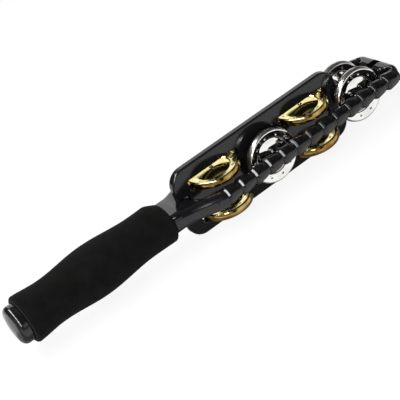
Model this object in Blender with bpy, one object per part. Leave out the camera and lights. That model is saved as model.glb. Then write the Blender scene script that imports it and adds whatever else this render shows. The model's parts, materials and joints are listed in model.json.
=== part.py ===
"""Jingle stick: foam handle, loop frame with two ribbed rails, upright plate and sixteen loose jingles.

The handle's axis is X, with the far end at +X. The origin is on that axis, half way along the foam grip.
The plate stands upright in the XZ plane, and the loop of neck, rails and bow lies in the XY plane, its front
rail at -Y.
"""

import math

import bmesh
import bpy
from mathutils import Vector
from mathutils.geometry import delaunay_2d_cdt

MM = 0.001

# Clearances
SEAT_GAP = 0.3 * MM  # between two pieces that touch
PIN_CLEARANCE = 0.3 * MM  # round a pin in its hole
CUT_MARGIN = 3.0 * MM  # of a cut past the surface that it opens

# Foam grip: distance from the butt as a share of the length, and radius
GRIP_LENGTH = 125.5 * MM
GRIP_BUTT_RADIUS = 18.7 * MM
GRIP_REAR_WAIST_RADIUS = 17.05 * MM
GRIP_PALM_RADIUS = 19.75 * MM
GRIP_FRONT_WAIST_RADIUS = 16.85 * MM
GRIP_FRONT_RADIUS = 17.2 * MM
GRIP_EDGE_RADIUS = 2.4 * MM
REAR_WAIST_AT = 0.19
PALM_AT = 0.49
FRONT_WAIST_AT = 0.83

# Core tube, which is part of the frame, and the end cap
CORE_RADIUS = 11.5 * MM
CORE_WALL = 3.0 * MM
CORE_BORE_DEPTH = 96.0 * MM
CAP_RADIUS = 15.0 * MM
CAP_SIDE_LENGTH = 4.2 * MM
CAP_SHOULDER_RADIUS = 4.2 * MM
CAP_DOME_HEIGHT = 1.4 * MM
CAP_PLUG_LENGTH = 16.0 * MM
CAP_PLUG_CHAMFER = 1.5 * MM
CAP_PLUG_LEAD = 0.3 * MM  # taken off the plug's radius at its end

# Jingles
JINGLE_RADIUS = 21.5 * MM
JINGLE_HEIGHT = 2.9 * MM
JINGLE_SHEET = 0.6 * MM
JINGLE_CREASE = 0.6 * MM
JINGLE_RING_FALL = 0.5 * MM  # from the dish's edge out to the crease
JINGLE_DISH_RADIUS = 15.0 * MM
JINGLE_DISH_DEPTH = 1.4 * MM
JINGLE_DISH_SLOPE = 1.3 * MM
JINGLE_INNER_SHIFT = 0.24 * MM  # outwards, of the dish's slope on the sheet's inner face
JINGLE_HOLE_RADIUS = 1.6 * MM
PIN_RADIUS = 0.8 * MM
PIN_CHAMFER = 0.3 * MM
STATION_SPACE = 0.45 * MM  # between the rims of jingles at neighbouring stations

# Jingle plate
PLATE_THICKNESS = 6.4 * MM
PLATE_CORNER_RADIUS = 12.5 * MM
PLATE_EDGE_RADIUS = 1.4 * MM
PLATE_BUTT_MARGIN = 12.5 * MM  # from the plate's end to its first slot
PLATE_TIP_MARGIN = 10.0 * MM
UPPER_RIM_HEIGHT = 11.2 * MM
LOWER_RIM_HEIGHT = 7.85 * MM
MIDDLE_WEB_HEIGHT = 19.35 * MM  # between the upper and the lower slots
SLOT_HEIGHT = 9.4 * MM
SLOT_END_SPACE = 2.0 * MM  # past a jingle's rim, at each end of a slot
SLOT_CORNER_RADIUS = 2.0 * MM
TONGUE_HALF_HEIGHT = 4.0 * MM
BLIND_END = 4.0 * MM  # of material left past the end of an upright pin

# Loop frame
NECK_LENGTH = 14.0 * MM  # from the grip to the plate
NECK_HALF_WIDTH = 15.0 * MM
NECK_HALF_HEIGHT = 8.5 * MM
NECK_EDGE_RADIUS = 5.5 * MM
NECK_STRAIGHT = 3.0 * MM  # before it widens into the fork
FRAME_HALF_HEIGHT = 6.8 * MM
FRAME_EDGE_RADIUS = 4.5 * MM
OPENING_CHAMFER = 2.6 * MM
ROOT_LENGTH = 9.0 * MM  # of the neck inside the core
ROOT_HALF_WIDTH = 9.2 * MM
CROTCH_SPACE = 2.5 * MM  # from the crotch to the first slot
CROTCH_RADIUS = 12.0 * MM
FORK_LENGTH = 16.0 * MM  # least, from the crotch to the first rib
JINGLE_GAP = 12.0 * MM  # from the plate to each rail
RIB_PITCH = 13.16 * MM
RIB_CREST_RADIUS = 6.8 * MM
RIB_GROOVE_RADIUS = 5.0 * MM
# One rib as shares: along its pitch, and up from the groove to the crest
RIB_SHAPE = ((0.02, 0.0), (0.13, 0.85), (0.26, 1.0), (0.80, 0.35), (0.93, 0.0))
RAIL_ROOT_LENGTH = 13.6 * MM  # inside the fork
RAIL_TIP_LENGTH = 3.0 * MM  # inside the bow
LOOP_END_SPACE = 3.6 * MM  # from the last jingles to the bow
BOW_WIDTH = 13.6 * MM
BOW_SHOULDER = 6.0 * MM
BOW_CORNER_RADIUS = 13.0 * MM
BOW_SLOT_DEPTH = 10.6 * MM
BLIND_RAIL_DEPTH = 2.0 * MM  # of a cross pin past the front rail's middle

# Where the loose jingles lie
REAR_PAIR_STAND_OFF = 3.3 * MM  # from the plate to the rear pair

# Places along the handle's axis
GRIP_BUTT = -GRIP_LENGTH / 2
GRIP_END = GRIP_LENGTH / 2
NECK_START = GRIP_END + SEAT_GAP
PLATE_START = GRIP_END + NECK_LENGTH
SLOT_HALF_LENGTH = JINGLE_RADIUS + SLOT_END_SPACE
FIRST_STATION = PLATE_START + PLATE_BUTT_MARGIN + SLOT_HALF_LENGTH
STATION_PITCH = 2 * JINGLE_RADIUS + STATION_SPACE
STATIONS = [FIRST_STATION + index * STATION_PITCH for index in range(4)]
BRASS_STATIONS = {1: STATIONS[0], 3: STATIONS[2]}
STEEL_STATIONS = {2: STATIONS[1], 4: STATIONS[3]}
PLATE_END = STATIONS[2] + SLOT_HALF_LENGTH + PLATE_TIP_MARGIN
CROTCH = FIRST_STATION - SLOT_HALF_LENGTH - CROTCH_SPACE
BOW_START = STATIONS[3] + JINGLE_RADIUS + LOOP_END_SPACE
BOW_END = BOW_START + BOW_WIDTH
BOW_SLOT_END = BOW_START + BOW_SLOT_DEPTH
RIBS_END = BOW_START + BOW_SHOULDER
RIB_COUNT = int((RIBS_END - CROTCH - FORK_LENGTH) / RIB_PITCH)  # as many as the rails have room for
RIBS_START = RIBS_END - RIB_COUNT * RIB_PITCH

# Places across it
PLATE_HALF = PLATE_THICKNESS / 2
RAIL_OFFSET = PLATE_HALF + JINGLE_GAP + RIB_CREST_RADIUS
LOOP_HALF_WIDTH = RAIL_OFFSET + RIB_CREST_RADIUS
OPENING_HALF_WIDTH = RAIL_OFFSET - RIB_CREST_RADIUS

# Heights
PLATE_HALF_HEIGHT = (UPPER_RIM_HEIGHT + LOWER_RIM_HEIGHT + MIDDLE_WEB_HEIGHT) / 2 + SLOT_HEIGHT
SLOT_FLOORS = {
    "upper": PLATE_HALF_HEIGHT - UPPER_RIM_HEIGHT - SLOT_HEIGHT,
    "lower": LOWER_RIM_HEIGHT - PLATE_HALF_HEIGHT,
}
HANG = JINGLE_HOLE_RADIUS - PIN_RADIUS - PIN_CLEARANCE  # of a jingle below its cross pin
PIN_HOLE_RADIUS = PIN_RADIUS + PIN_CLEARANCE
CORE_BORE_RADIUS = CORE_RADIUS - CORE_WALL

ROUND_SIDES = 28
RAIL_SIDES = 16
PIN_SIDES = 12
JINGLE_SIDES = 20
GRIP_RINGS = 18
NECK_RINGS = 4
DOME_STEPS = 3
FLARE_STEPS = 10
ARC_STEP = math.radians(18)
SMOOTH_ANGLE = math.radians(35)
ALONG_X = (0, math.pi / 2, 0)
UP = (0, 0, 0)
DOWN = (math.pi, 0, 0)
TO_FRONT = (math.pi / 2, 0, 0)
TO_REAR = (-math.pi / 2, 0, 0)
INSIDE_ONLY = 1  # the triangles that fill an outline
MERGE_DISTANCE = 0.0001 * MM


def clear_scene():
    for obj in list(bpy.data.objects):
        bpy.data.objects.remove(obj, do_unlink=True)


def make_material(name, colour, roughness, metallic=0.0, coat=0.0):
    material = bpy.data.materials.new(name)
    material.use_nodes = True
    shader = material.node_tree.nodes["Principled BSDF"]
    shader.inputs["Base Color"].default_value = (*colour, 1.0)
    shader.inputs["Roughness"].default_value = roughness
    shader.inputs["Metallic"].default_value = metallic
    shader.inputs["Coat Weight"].default_value = coat
    return material


def add_object(name, mesh, material=None):
    """An object in the scene, shaded smooth up to SMOOTH_ANGLE."""
    obj = bpy.data.objects.new(name, mesh)
    bpy.context.scene.collection.objects.link(obj)
    mesh.shade_smooth()
    mesh.set_sharp_from_angle(angle=SMOOTH_ANGLE)
    if material is not None and not mesh.materials:
        mesh.materials.append(material)
    return obj


def mesh_from(name, shape):
    """The mesh of a bmesh whose faces are turned outwards."""
    bmesh.ops.recalc_face_normals(shape, faces=shape.faces[:])
    mesh = bpy.data.meshes.new(name)
    shape.to_mesh(mesh)
    shape.free()
    return mesh


def turned_mesh(name, profile, sides, closed):
    """A profile of (radius, height) points turned about Z.

    A closed profile is a ring's section. An open one starts and ends on the axis.
    """
    shape = bmesh.new()
    rings = []
    for radius, height in profile:
        if radius == 0:
            rings.append([shape.verts.new((0, 0, height))])
            continue
        turn = [2 * math.pi * side / sides for side in range(sides)]
        rings.append([shape.verts.new((radius * math.cos(a), radius * math.sin(a), height)) for a in turn])
    pairs = list(zip(rings, rings[1:]))
    if closed:
        pairs.append((rings[-1], rings[0]))
    for low, high in pairs:
        for side in range(sides):
            after = (side + 1) % sides
            corners = [low[side % len(low)], low[after % len(low)]]
            corners += [high[after % len(high)], high[side % len(high)]]
            shape.faces.new(list(dict.fromkeys(corners)))
    return mesh_from(name, shape)


def arc(centre, radius, start, end):
    """Points of a circle's arc about a centre, from one angle to another."""
    count = max(2, math.ceil(abs(end - start) / ARC_STEP))
    angles = [start + (end - start) * index / count for index in range(count + 1)]
    return [(centre[0] + radius * math.cos(a), centre[1] + radius * math.sin(a)) for a in angles]


def box(left, right, low, high):
    return [(left, low), (right, low), (right, high), (left, high)]


def rounded_box(left, right, low, high, radius):
    """A rectangle's outline with rounded corners, from the low left one round to the high left one."""
    corners = zip(box(left + radius, right - radius, low + radius, high - radius), (1.0, 1.5, 2.0, 2.5))
    outline = []
    for centre, half_turns in corners:
        outline += arc(centre, radius, half_turns * math.pi, (half_turns + 0.5) * math.pi)
    return outline


def inset(outline, distance):
    """A closed outline moved inwards by a distance, its corners mitred."""
    ring = [Vector(point) for point in outline]
    area = sum(a.x * b.y - b.x * a.y for a, b in zip(ring, ring[1:] + ring[:1]))
    inward = 1 if area > 0 else -1
    moved = []
    for index, point in enumerate(ring):
        before = (point - ring[index - 1]).normalized()
        after = (ring[(index + 1) % len(ring)] - point).normalized()
        first = inward * Vector((-before.y, before.x))
        second = inward * Vector((-after.y, after.x))
        moved.append(point + (first + second) * distance / (1 + first.dot(second)))
    return moved


def round_side(half_thickness, radius, steps):
    """A rounded edge, as (inset, height) points from the outline's wall to the face above it."""
    turns = [math.pi / 2 * step / steps for step in range(steps + 1)]
    return [(radius * (1 - math.cos(a)), half_thickness - radius * (1 - math.sin(a))) for a in turns]


def slab_mesh(name, outline, side, upright=False):
    """An outline drawn out on both sides of its plane.

    The side is a list of (inset, height) points from the wall up to the face, and the slab's lower half
    mirrors it. The outline lies in XY, or in XZ if the slab is upright.
    """
    levels = [(shift, -height) for shift, height in reversed(side)] + side
    shape = bmesh.new()
    rings = []
    for shift, height in levels:
        ring = inset(outline, shift)
        corners = [(point.x, height, point.y) if upright else (point.x, point.y, height) for point in ring]
        rings.append([shape.verts.new(corner) for corner in corners])
    for low, high in zip(rings, rings[1:]):
        for index in range(len(low)):
            after = (index + 1) % len(low)
            shape.faces.new((low[index], low[after], high[after], high[index]))
    whole = [list(range(len(outline)))]
    for ring, shift in ((rings[0], levels[0][0]), (rings[-1], levels[-1][0])):
        flat = delaunay_2d_cdt(inset(outline, shift), [], whole, INSIDE_ONLY, MERGE_DISTANCE)
        source = flat[3]
        for triangle in flat[2]:
            shape.faces.new([ring[source[corner][0]] for corner in triangle])
    return mesh_from(name, shape)


def block_mesh(name, outline, half_thickness, upright=False):
    """A slab with square edges."""
    return slab_mesh(name, outline, [(0, half_thickness)], upright)


def shape_with(target, operation, name, mesh, location=(0, 0, 0), rotation=UP):
    """Joins a mesh to a target, or cuts it out, with a Boolean modifier."""
    tool = add_object(name, mesh)
    tool.location = location
    tool.rotation_euler = rotation
    tool.hide_render = True
    tool.display_type = "WIRE"
    modifier = target.modifiers.new(name, "BOOLEAN")
    modifier.operation = operation
    modifier.solver = "EXACT"
    modifier.object = tool


def join(target, name, mesh, location=(0, 0, 0), rotation=UP):
    shape_with(target, "UNION", name, mesh, location, rotation)


def cut(target, name, mesh, location=(0, 0, 0), rotation=UP):
    shape_with(target, "DIFFERENCE", name, mesh, location, rotation)


def rod_mesh(name, radius, start, end, sides):
    """A plain round rod along Z."""
    return turned_mesh(name, [(0, start), (radius, start), (radius, end), (0, end)], sides, closed=False)


def smooth_step(share):
    """A smooth wave from 0 to 1."""
    return 0.5 - 0.5 * math.cos(math.pi * share)


def grip_radius(share):
    """The grip's radius at a share of its length: smooth waves through butt, waist, palm, waist and front."""
    stops = [
        (0.0, GRIP_BUTT_RADIUS),
        (REAR_WAIST_AT, GRIP_REAR_WAIST_RADIUS),
        (PALM_AT, GRIP_PALM_RADIUS),
        (FRONT_WAIST_AT, GRIP_FRONT_WAIST_RADIUS),
        (1.0, GRIP_FRONT_RADIUS),
    ]
    for (start, first), (end, last) in zip(stops, stops[1:]):
        if share <= end:
            return first + (last - first) * smooth_step((share - start) / (end - start))
    return stops[-1][1]


def build_grip(foam):
    """A turned foam sleeve with rounded ends and a bore for the core."""
    edge = GRIP_EDGE_RADIUS
    edge_share = edge / GRIP_LENGTH
    profile = arc((grip_radius(edge_share) - edge, GRIP_BUTT + edge), edge, -math.pi / 2, 0)
    for ring in range(1, GRIP_RINGS):
        share = edge_share + (1 - 2 * edge_share) * ring / GRIP_RINGS
        profile.append((grip_radius(share), GRIP_BUTT + share * GRIP_LENGTH))
    profile += arc((grip_radius(1 - edge_share) - edge, GRIP_END - edge), edge, 0, math.pi / 2)
    bore = CORE_RADIUS + SEAT_GAP
    profile += [(bore, GRIP_END), (bore, GRIP_BUTT)]
    grip = add_object("foam_grip", turned_mesh("foam_grip", profile, ROUND_SIDES, closed=True), foam)
    grip.rotation_euler = ALONG_X


def build_cap(gloss):
    """A shallow domed cap with a rounded shoulder, whose plug sits in the core's bore."""
    plug = CORE_BORE_RADIUS - SEAT_GAP
    back = GRIP_BUTT - SEAT_GAP
    plug_end = back + CAP_PLUG_LENGTH
    profile = [(0, plug_end), (plug - CAP_PLUG_LEAD, plug_end), (plug, plug_end - CAP_PLUG_CHAMFER)]
    profile += [(plug, back), (CAP_RADIUS, back)]
    shoulder_start = back - CAP_SIDE_LENGTH
    flat_radius = CAP_RADIUS - CAP_SHOULDER_RADIUS
    profile += arc((flat_radius, shoulder_start), CAP_SHOULDER_RADIUS, 0, -math.pi / 2)
    shoulder_end = shoulder_start - CAP_SHOULDER_RADIUS
    for step in reversed(range(DOME_STEPS)):
        share = step / DOME_STEPS
        profile.append((flat_radius * share, shoulder_end - CAP_DOME_HEIGHT * (1 - share**2)))
    cap = add_object("end_cap", turned_mesh("end_cap", profile, ROUND_SIDES, closed=False), gloss)
    cap.rotation_euler = ALONG_X


def rail_mesh(name):
    """A round rod along Z with one rib to each pitch.

    A rib has a short round shoulder on the handle's side, tapers towards the bow and ends in a groove.
    """
    root = RIBS_START - RAIL_ROOT_LENGTH
    tip = RIBS_END + RAIL_TIP_LENGTH
    rib_height = RIB_CREST_RADIUS - RIB_GROOVE_RADIUS
    profile = [(0, root), (RIB_GROOVE_RADIUS, root)]
    for rib in range(RIB_COUNT):
        for along, rise in RIB_SHAPE:
            profile.append((RIB_GROOVE_RADIUS + rise * rib_height, RIBS_START + (rib + along) * RIB_PITCH))
    profile += [(RIB_GROOVE_RADIUS, tip), (0, tip)]
    return turned_mesh(name, profile, RAIL_SIDES, closed=False)


def loop_outline():
    """Half of the frame's outline: inside the neck, a smooth flare, a straight side, a rounded corner."""
    start = NECK_START + NECK_STRAIGHT / 2
    flare_start = NECK_START + NECK_STRAIGHT
    neck = NECK_HALF_WIDTH - 2 * SEAT_GAP
    half = [(start, 0), (start, neck)]
    for step in range(FLARE_STEPS + 1):
        share = step / FLARE_STEPS
        along = flare_start + (RIBS_START - flare_start) * share
        half.append((along, neck + (LOOP_HALF_WIDTH - neck) * smooth_step(share)))
    centre = (BOW_END - BOW_CORNER_RADIUS, LOOP_HALF_WIDTH - BOW_CORNER_RADIUS)
    half += arc(centre, BOW_CORNER_RADIUS, math.pi / 2, 0)
    half.append((BOW_END, 0))
    return half


def opening_outline():
    """Half of what is cut out between neck and bow: the crotch, the rails' space and the bow's inner edge."""
    beyond = LOOP_HALF_WIDTH + CUT_MARGIN
    half = [(CROTCH, 0)]
    centre = (CROTCH + CROTCH_RADIUS, OPENING_HALF_WIDTH - CROTCH_RADIUS)
    half += arc(centre, CROTCH_RADIUS, math.pi, math.pi / 2)
    half += [(RIBS_START, OPENING_HALF_WIDTH), (RIBS_START, beyond), (RIBS_END, beyond)]
    half += [(RIBS_END, OPENING_HALF_WIDTH), (BOW_START, OPENING_HALF_WIDTH - BOW_SHOULDER / 2)]
    half.append((BOW_START, 0))
    return half


def mirrored(half):
    """A closed outline from half of one and its mirror image across the axis."""
    other = [(x, -y) for x, y in reversed(half) if y != 0]
    return half + other


def neck_mesh(name):
    """A rounded section drawn along X from the grip to the plate, where it has sunk into the frame."""
    end = PLATE_START - SEAT_GAP
    end_half_height = FRAME_HALF_HEIGHT - SEAT_GAP
    shape = bmesh.new()
    rings = []
    for ring in range(NECK_RINGS + 1):
        share = ring / NECK_RINGS
        along = NECK_START + (end - NECK_START) * share
        height = NECK_HALF_HEIGHT + (end_half_height - NECK_HALF_HEIGHT) * smooth_step(share)
        section = rounded_box(-NECK_HALF_WIDTH, NECK_HALF_WIDTH, -height, height, NECK_EDGE_RADIUS)
        rings.append([shape.verts.new((along, y, z)) for y, z in section])
    for low, high in zip(rings, rings[1:]):
        for index in range(len(low)):
            after = (index + 1) % len(low)
            shape.faces.new((low[index], low[after], high[after], high[index]))
    shape.faces.new(rings[0])
    shape.faces.new(rings[-1])
    return mesh_from(name, shape)


def build_frame(gloss):
    """One moulding: the core tube, the neck, the fork, the two ribbed rails and the bow."""
    rounded = round_side(FRAME_HALF_HEIGHT, FRAME_EDGE_RADIUS, 3)
    frame = add_object("loop_frame", slab_mesh("loop_frame", mirrored(loop_outline()), rounded), gloss)

    # The opening's edges are chamfered, so its cut widens towards both faces.
    wide = OPENING_CHAMFER + SEAT_GAP
    widening = [(0, FRAME_HALF_HEIGHT - OPENING_CHAMFER), (-wide, FRAME_HALF_HEIGHT + SEAT_GAP)]
    cut(frame, "cut_opening", slab_mesh("cut_opening", mirrored(opening_outline()), widening))

    join(frame, "join_neck", neck_mesh("join_neck"))
    for side, place in ((-1, "front"), (1, "rear")):
        rail = f"join_{place}_rail"
        join(frame, rail, rail_mesh(rail), (0, side * RAIL_OFFSET, 0), ALONG_X)

    # The root carries the neck into the core.
    root = box(GRIP_END - ROOT_LENGTH, NECK_START + NECK_STRAIGHT, -ROOT_HALF_WIDTH, ROOT_HALF_WIDTH)
    join(frame, "join_root", block_mesh("join_root", root, FRAME_HALF_HEIGHT - SEAT_GAP))

    core = rod_mesh("join_core", CORE_RADIUS, GRIP_BUTT, GRIP_END - SEAT_GAP, ROUND_SIDES)
    join(frame, "join_core", core, rotation=ALONG_X)
    bore_ends = (GRIP_BUTT - CUT_MARGIN, GRIP_BUTT + CORE_BORE_DEPTH)
    bore = rod_mesh("cut_bore", CORE_BORE_RADIUS, *bore_ends, ROUND_SIDES)
    cut(frame, "cut_bore", bore, rotation=ALONG_X)

    # The slot takes the plate's tongue.
    slot_half = PLATE_HALF + SEAT_GAP
    slot = box(BOW_START - CUT_MARGIN, BOW_SLOT_END, -slot_half, slot_half)
    cut(frame, "cut_bow_slot", block_mesh("cut_bow_slot", slot, FRAME_HALF_HEIGHT + CUT_MARGIN))

    # A cross pin's hole runs right through the rear rail and stops inside the front one.
    hole_front = -RAIL_OFFSET - BLIND_RAIL_DEPTH - SEAT_GAP
    hole_rear = LOOP_HALF_WIDTH + CUT_MARGIN
    for station, along in STEEL_STATIONS.items():
        name = f"cut_cross_hole_{station}"
        hole = rod_mesh(name, PIN_HOLE_RADIUS, -hole_rear, -hole_front, PIN_SIDES)
        cut(frame, name, hole, (along, 0, 0), TO_FRONT)


def plate_outline():
    """The plate's outline: rounded corners, a notch that straddles the neck, and a tongue at the far end."""
    corner = PLATE_CORNER_RADIUS
    neck = FRAME_HALF_HEIGHT + SEAT_GAP
    upper = [(CROTCH + SEAT_GAP, 0), (CROTCH + SEAT_GAP, neck), (PLATE_START, neck)]
    upper += arc((PLATE_START + corner, PLATE_HALF_HEIGHT - corner), corner, math.pi, math.pi / 2)
    upper += arc((PLATE_END - corner, PLATE_HALF_HEIGHT - corner), corner, math.pi / 2, 0)
    upper += [(PLATE_END, TONGUE_HALF_HEIGHT), (BOW_SLOT_END - SEAT_GAP, TONGUE_HALF_HEIGHT)]
    upper.append((BOW_SLOT_END - SEAT_GAP, 0))
    return mirrored(upper)


def build_plate(gloss):
    """The upright plate, with an upper and a lower slot at each brass station and holes for the pins."""
    rounded = round_side(PLATE_HALF, PLATE_EDGE_RADIUS, 2)
    sheet = slab_mesh("jingle_plate", plate_outline(), rounded, upright=True)
    plate = add_object("jingle_plate", sheet, gloss)
    for station, along in BRASS_STATIONS.items():
        for row, floor in SLOT_FLOORS.items():
            name = f"cut_slot_{station}_{row}"
            ends = (along - SLOT_HALF_LENGTH, along + SLOT_HALF_LENGTH)
            outline = rounded_box(*ends, floor, floor + SLOT_HEIGHT, SLOT_CORNER_RADIUS)
            cut(plate, name, block_mesh(name, outline, PLATE_THICKNESS, upright=True))
        name = f"cut_upright_hole_{station}"
        low = -PLATE_HALF_HEIGHT - CUT_MARGIN
        high = PLATE_HALF_HEIGHT - BLIND_END + SEAT_GAP
        cut(plate, name, rod_mesh(name, PIN_HOLE_RADIUS, low, high, PIN_SIDES), (along, 0, 0))
    for station, along in STEEL_STATIONS.items():
        name = f"cut_plate_hole_{station}"
        hole = rod_mesh(name, PIN_HOLE_RADIUS, -PLATE_THICKNESS, PLATE_THICKNESS, PIN_SIDES)
        cut(plate, name, hole, (along, 0, 0), TO_FRONT)


def pin_mesh(name, length):
    """A plain pin along Z with chamfered ends."""
    half = [(0, length / 2), (PIN_RADIUS - PIN_CHAMFER, length / 2), (PIN_RADIUS, length / 2 - PIN_CHAMFER)]
    profile = half + [(radius, -height) for radius, height in reversed(half)]
    return turned_mesh(name, profile, PIN_SIDES, closed=False)


def build_pins(steel):
    """Upright pins in the plate for the brass jingles, and long cross pins for the steel ones."""
    low = -PLATE_HALF_HEIGHT + SEAT_GAP
    high = PLATE_HALF_HEIGHT - BLIND_END
    for station, along in BRASS_STATIONS.items():
        name = f"brass_jingle_pin_{station}"
        pin = add_object(name, pin_mesh(name, high - low), steel)
        pin.location = (along, 0, (low + high) / 2)
    front = -RAIL_OFFSET - BLIND_RAIL_DEPTH
    rear = RAIL_OFFSET + RIB_GROOVE_RADIUS
    for station, along in STEEL_STATIONS.items():
        name = f"cross_pin_{station}"
        pin = add_object(name, pin_mesh(name, rear - front), steel)
        pin.location = (along, (front + rear) / 2, 0)
        pin.rotation_euler = TO_FRONT


def jingle_mesh(name, metal):
    """One stamped jingle, its open mouth at z = 0 and its face upwards.

    The section goes from the hole across the dish, up its slope, over the gently falling ring, round the
    crease and down the upright wall, and back inside it, one sheet thickness away.
    """
    top = JINGLE_HEIGHT
    dish = top - JINGLE_DISH_DEPTH
    crease = top - JINGLE_RING_FALL
    dish_floor_radius = JINGLE_DISH_RADIUS - JINGLE_DISH_SLOPE
    outer = [
        (JINGLE_HOLE_RADIUS, dish),
        (dish_floor_radius, dish),
        (JINGLE_DISH_RADIUS, top),
        (JINGLE_RADIUS - JINGLE_CREASE, crease),
        (JINGLE_RADIUS, crease - JINGLE_CREASE),
        (JINGLE_RADIUS, 0),
    ]
    inner = [
        (JINGLE_RADIUS - JINGLE_SHEET, 0),
        (JINGLE_RADIUS - JINGLE_SHEET, crease - JINGLE_SHEET),
        (JINGLE_DISH_RADIUS + JINGLE_INNER_SHIFT, top - JINGLE_SHEET),
        (dish_floor_radius + JINGLE_INNER_SHIFT, dish - JINGLE_SHEET),
        (JINGLE_HOLE_RADIUS, dish - JINGLE_SHEET),
    ]
    mesh = turned_mesh(name, outer + inner, JINGLE_SIDES, closed=True)
    mesh.materials.append(metal)
    return mesh


def add_jingle(name, mesh, location, rotation):
    jingle = add_object(name, mesh)
    jingle.location = location
    jingle.rotation_euler = rotation


def build_jingles(brass, steel):
    """Sixteen jingles in pairs, mouth to mouth. Each origin is on its pin's axis, at the jingle's mouth."""
    brass_mesh = jingle_mesh("brass_jingle", brass)
    steel_mesh = jingle_mesh("steel_jingle", steel)

    # A brass pair lies on the floor of its slot.
    for station, along in BRASS_STATIONS.items():
        for row, floor in SLOT_FLOORS.items():
            pair = f"brass_{station}_{row}_pair"
            mouth = floor + SEAT_GAP + JINGLE_HEIGHT
            add_jingle(f"{pair}_under", brass_mesh, (along, 0, mouth), DOWN)
            add_jingle(f"{pair}_over", brass_mesh, (along, 0, mouth + SEAT_GAP), UP)

    # A steel pair hangs on its cross pin: a front pair against the rail, a rear pair nearer the plate.
    front_mouth = -OPENING_HALF_WIDTH + SEAT_GAP + JINGLE_HEIGHT
    rear_mouth = PLATE_HALF + REAR_PAIR_STAND_OFF + JINGLE_HEIGHT
    places = (
        ("front_pair_outer", front_mouth, TO_FRONT),
        ("front_pair_inner", front_mouth + SEAT_GAP, TO_REAR),
        ("rear_pair_inner", rear_mouth, TO_FRONT),
        ("rear_pair_outer", rear_mouth + SEAT_GAP, TO_REAR),
    )
    for station, along in STEEL_STATIONS.items():
        for place, across, turn in places:
            add_jingle(f"steel_{station}_{place}", steel_mesh, (along, across, -HANG), turn)


def build():
    clear_scene()
    gloss = (0.018, 0.018, 0.020)
    build_grip(make_material("foam", (0.022, 0.021, 0.021), 0.95))
    build_cap(make_material("cap plastic", gloss, 0.12, coat=0.5))
    build_frame(make_material("frame plastic", gloss, 0.22, coat=0.3))
    build_plate(make_material("plate plastic", gloss, 0.16, coat=0.4))
    build_pins(make_material("pin steel", (0.50, 0.50, 0.51), 0.30, metallic=1.0))
    brass = make_material("brass", (0.83, 0.61, 0.22), 0.16, metallic=1.0)
    steel = make_material("nickel-plated steel", (0.66, 0.64, 0.60), 0.12, metallic=1.0)
    build_jingles(brass, steel)
    bpy.context.view_layer.update()


build()
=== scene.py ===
"""Looks of a jingle stick: foam handle, black plastic loop and plate, brass and steel jingles."""

import json
import math

import bmesh
import bpy
import numpy as np
from mathutils import Matrix, Vector
from mathutils.geometry import delaunay_2d_cdt

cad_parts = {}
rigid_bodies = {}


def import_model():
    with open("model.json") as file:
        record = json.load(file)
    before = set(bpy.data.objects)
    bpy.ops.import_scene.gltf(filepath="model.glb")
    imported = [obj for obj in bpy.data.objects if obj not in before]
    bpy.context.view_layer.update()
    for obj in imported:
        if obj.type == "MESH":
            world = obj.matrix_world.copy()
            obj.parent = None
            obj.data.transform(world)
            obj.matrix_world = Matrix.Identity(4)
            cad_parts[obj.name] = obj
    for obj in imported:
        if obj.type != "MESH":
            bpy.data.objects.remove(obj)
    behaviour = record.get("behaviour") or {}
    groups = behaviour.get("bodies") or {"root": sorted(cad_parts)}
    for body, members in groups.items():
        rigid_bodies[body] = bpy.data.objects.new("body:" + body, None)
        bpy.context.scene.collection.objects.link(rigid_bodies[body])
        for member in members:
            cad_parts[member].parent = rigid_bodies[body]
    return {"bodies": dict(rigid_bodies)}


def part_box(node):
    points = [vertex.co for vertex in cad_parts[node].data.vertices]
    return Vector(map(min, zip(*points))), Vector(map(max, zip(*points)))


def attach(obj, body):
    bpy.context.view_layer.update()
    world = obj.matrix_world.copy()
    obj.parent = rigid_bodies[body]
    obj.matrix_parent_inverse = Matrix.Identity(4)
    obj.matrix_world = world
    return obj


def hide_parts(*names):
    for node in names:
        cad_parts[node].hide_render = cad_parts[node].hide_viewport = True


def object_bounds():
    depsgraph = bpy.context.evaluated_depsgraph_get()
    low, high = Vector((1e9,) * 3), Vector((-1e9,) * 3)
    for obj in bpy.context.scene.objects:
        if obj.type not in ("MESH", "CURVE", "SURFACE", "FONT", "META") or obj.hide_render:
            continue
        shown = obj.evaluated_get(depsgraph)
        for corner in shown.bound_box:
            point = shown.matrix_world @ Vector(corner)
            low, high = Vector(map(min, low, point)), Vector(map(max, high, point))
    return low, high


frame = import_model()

CAD_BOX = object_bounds()
MM = 0.001
TAU = 2 * math.pi


def corners(node):
    """The lowest and the highest corner of a CAD node as arrays."""
    low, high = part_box(node)
    return np.array(low), np.array(high)


# Places taken from the frame
GRIP_BUTT = corners("foam_grip")[0][0]
GRIP_END = corners("foam_grip")[1][0]
PLUG_END, CAP_RADIUS = corners("end_cap")[1][:2]
PLATE_START = corners("jingle_plate")[0][0]
TONGUE_END, PLATE_HALF, PLATE_HALF_HEIGHT = corners("jingle_plate")[1]
BOW_END, LOOP_HALF_WIDTH = corners("loop_frame")[1][:2]
PINS = ("brass_jingle_pin_1", "cross_pin_2", "brass_jingle_pin_3", "cross_pin_4")
STATIONS = [float(np.mean([edge[0] for edge in corners(pin)])) for pin in PINS]

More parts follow.
